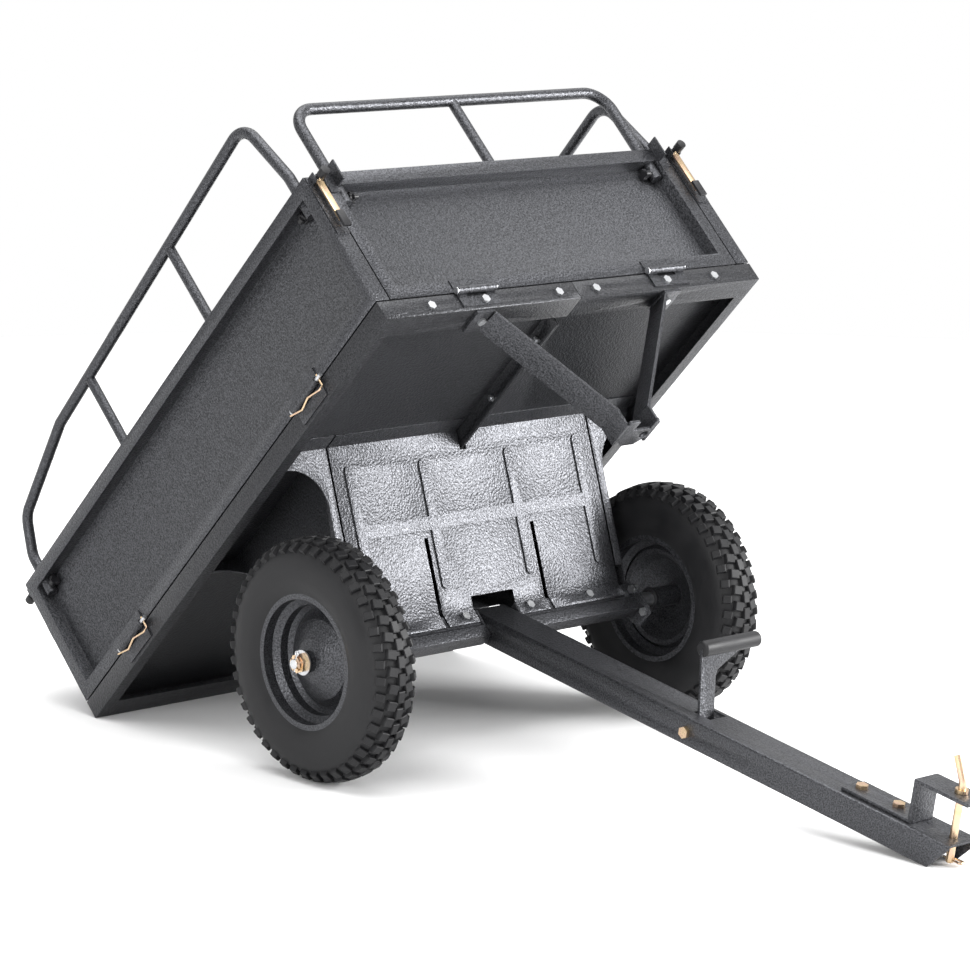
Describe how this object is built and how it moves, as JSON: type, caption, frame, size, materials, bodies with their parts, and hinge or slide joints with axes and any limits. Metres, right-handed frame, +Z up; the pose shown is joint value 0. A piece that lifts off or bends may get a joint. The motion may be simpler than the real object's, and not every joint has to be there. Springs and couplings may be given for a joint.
{
  "type": "tipping tow-behind garden cart",
  "caption": "Two-wheeled tow-behind cart in its dump position, with a tilting sheet steel bed, folding latched panels, tube guard rails, a channel drawbar and a pin hitch.",
  "frame": {"origin": "centre of the overall box on the ground, with the cart standing in its dump position", "axes": "+X towards the hitch, +Y to the cart's left, +Z up"},
  "size_m": [1.8114, 0.8716, 1.0513],
  "materials": {
    "hammered_paint": "hammered charcoal powder coat, satin",
    "tyre": "moulded black rubber with a block tread",
    "yellow_zinc": "yellow-passivated zinc plate",
    "bright_zinc": "bright zinc plate",
    "black_plastic": "moulded black plastic",
    "grip_rubber": "pebbled black rubber sleeve",
    "nylon_bush": "plain black nylon"
  },
  "bodies": {
    "drawbar": {"drawbar": "hammered_paint", "axle_rod": "bright_zinc", "axle_spacers": "bright_zinc", "wheel_washers": "bright_zinc", "axle_nuts": "yellow_zinc", "split_pins": "bright_zinc", "hitch_plate": "hammered_paint", "hitch_bolts": "yellow_zinc", "lever_pivot_bolt": "yellow_zinc", "lever_spring": "bright_zinc"},
    "release_lever": {"release_lever": "hammered_paint", "lever_grip": "grip_rubber"},
    "hitch_pin": {"hitch_pin": "yellow_zinc"},
    "hitch_clip": {"hitch_clip": "yellow_zinc"},
    "bed": {"floor_pan_right": "hammered_paint", "floor_pan_left": "hammered_paint", "apron_front": "hammered_paint", "apron_rear": "hammered_paint", "side_plate_right": "hammered_paint", "side_plate_left": "hammered_paint", "axle_beam": "hammered_paint", "latch_arm_right": "hammered_paint", "latch_arm_left": "hammered_paint", "latch_shoe": "hammered_paint", "bed_bolts": "bright_zinc", "bed_hinge_leaves": "hammered_paint", "hinge_pins": "bright_zinc", "hinge_clips": "yellow_zinc"},
    "front_panel": {"front_panel": "hammered_paint", "front_hinge_leaves": "hammered_paint", "front_rail": "hammered_paint", "front_keepers": "hammered_paint"},
    "rear_panel": {"rear_panel": "hammered_paint", "rear_hinge_leaves": "hammered_paint", "rear_keepers": "hammered_paint"},
    "right_panel": {"right_panel": "hammered_paint", "right_hinge_leaves": "hammered_paint", "right_rail": "hammered_paint", "latch_plates_right": "hammered_paint"},
    "left_panel": {"left_panel": "hammered_paint", "left_hinge_leaves": "hammered_paint", "left_rail": "hammered_paint", "latch_plates_left": "hammered_paint"},
    "wheel_right": {"tyre_right": "tyre", "rim_right": "hammered_paint", "hub_bushes_right": "nylon_bush"},
    "wheel_left": {"tyre_left": "tyre", "rim_left": "hammered_paint", "hub_bushes_left": "nylon_bush"},
    "latch_front_right": {"latch_front_right": "yellow_zinc"},
    "latch_front_left": {"latch_front_left": "yellow_zinc"},
    "latch_rear_right": {"latch_rear_right": "yellow_zinc"},
    "latch_rear_left": {"latch_rear_left": "yellow_zinc"},
    "right_knob_front": {"right_knob_front": "black_plastic"},
    "right_knob_rear": {"right_knob_rear": "black_plastic"},
    "left_knob_front": {"left_knob_front": "black_plastic"},
    "left_knob_rear": {"left_knob_rear": "black_plastic"},
    "front_knob_right": {"front_knob_right": "black_plastic"},
    "front_knob_left": {"front_knob_left": "black_plastic"}
  },
  "joints": [
    {"name": "wheel_right_spin", "type": "hinge", "parent": "drawbar", "child": "wheel_right", "pos_m": [-0.11519, -0.378, 0.195], "axis": [0, 1, 0], "continuous": true},
    {"name": "wheel_left_spin", "type": "hinge", "parent": "drawbar", "child": "wheel_left", "pos_m": [-0.11519, 0.378, 0.195], "axis": [0, 1, 0], "continuous": true},
    {"name": "bed_tilt", "type": "hinge", "parent": "drawbar", "child": "bed", "pos_m": [-0.11519, 0, 0.195], "axis": [0, 1, 0], "range_deg": [0, 56.38]},
    {"name": "lever_swing", "type": "hinge", "parent": "drawbar", "child": "release_lever", "pos_m": [0.34686, 0, 0.10887], "axis": [0, 1, 0], "range_deg": [0, 39.96]},
    {"name": "hitch_pin_lift", "type": "slide", "parent": "drawbar", "child": "hitch_pin", "axis": [0.177, 0, 0.9842], "range_m": [0, 0.02]},
    {"name": "hitch_clip_pull", "type": "slide", "parent": "hitch_pin", "child": "hitch_clip", "axis": [0.9842, 0, -0.177], "range_m": [0, 0.035]},
    {"name": "front_panel_fold", "type": "hinge", "parent": "bed", "child": "front_panel", "pos_m": [0.04938, 0, 0.78008], "axis": [0, 1, 0], "range_deg": [0, 90]},
    {"name": "rear_panel_fold", "type": "hinge", "parent": "bed", "child": "rear_panel", "pos_m": [-0.71168, 0, 0.01945], "axis": [0, -1, 0], "range_deg": [0, 90]},
    {"name": "right_panel_fold", "type": "hinge", "parent": "bed", "child": "right_panel", "pos_m": [-0.32549, -0.409, 0.40542], "axis": [0.7073, 0, 0.7069], "range_deg": [0, 90]},
    {"name": "left_panel_fold", "type": "hinge", "parent": "bed", "child": "left_panel", "pos_m": [-0.32549, 0.409, 0.40542], "axis": [-0.7073, 0, -0.7069], "range_deg": [0, 90]},
    {"name": "latch_front_right_lift", "type": "hinge", "parent": "right_panel", "child": "latch_front_right", "pos_m": [-0.11568, -0.3835, 0.94807], "axis": [0, -1, 0], "range_deg": [0, 100]},
    {"name": "latch_front_left_lift", "type": "hinge", "parent": "left_panel", "child": "latch_front_left", "pos_m": [-0.11568, 0.3835, 0.94807], "axis": [0, -1, 0], "range_deg": [0, 100]},
    {"name": "latch_rear_right_lift", "type": "hinge", "parent": "right_panel", "child": "latch_rear_right", "pos_m": [-0.87957, -0.3835, 0.18461], "axis": [0, 1, 0], "range_deg": [0, 100]},
    {"name": "latch_rear_left_lift", "type": "hinge", "parent": "left_panel", "child": "latch_rear_left", "pos_m": [-0.87957, 0.3835, 0.18461], "axis": [0, 1, 0], "range_deg": [0, 100]},
    {"name": "right_knob_front_turn", "type": "hinge", "parent": "right_panel", "child": "right_knob_front", "pos_m": [-0.13125, -0.3885, 0.89716], "axis": [0.7073, 0, 0.7069], "continuous": true},
    {"name": "right_knob_rear_turn", "type": "hinge", "parent": "right_panel", "child": "right_knob_rear", "pos_m": [-0.82795, -0.3885, 0.20086], "axis": [0.7073, 0, 0.7069], "continuous": true},
    {"name": "left_knob_front_turn", "type": "hinge", "parent": "left_panel", "child": "left_knob_front", "pos_m": [-0.13125, 0.3885, 0.89716], "axis": [0.7073, 0, 0.7069], "continuous": true},
    {"name": "left_knob_rear_turn", "type": "hinge", "parent": "left_panel", "child": "left_knob_rear", "pos_m": [-0.82795, 0.3885, 0.20086], "axis": [0.7073, 0, 0.7069], "continuous": true},
    {"name": "front_knob_right_turn", "type": "hinge", "parent": "front_panel", "child": "front_knob_right", "pos_m": [-0.11392, -0.335, 0.91448], "axis": [0, 1, 0], "continuous": true},
    {"name": "front_knob_left_turn", "type": "hinge", "parent": "front_panel", "child": "front_knob_left", "pos_m": [-0.11392, 0.335, 0.91448], "axis": [0, 1, 0], "continuous": true}
  ],
  "couplings": [
    {"joint": "lever_swing", "follows": "bed_tilt", "ratio": 0.7}
  ]
}
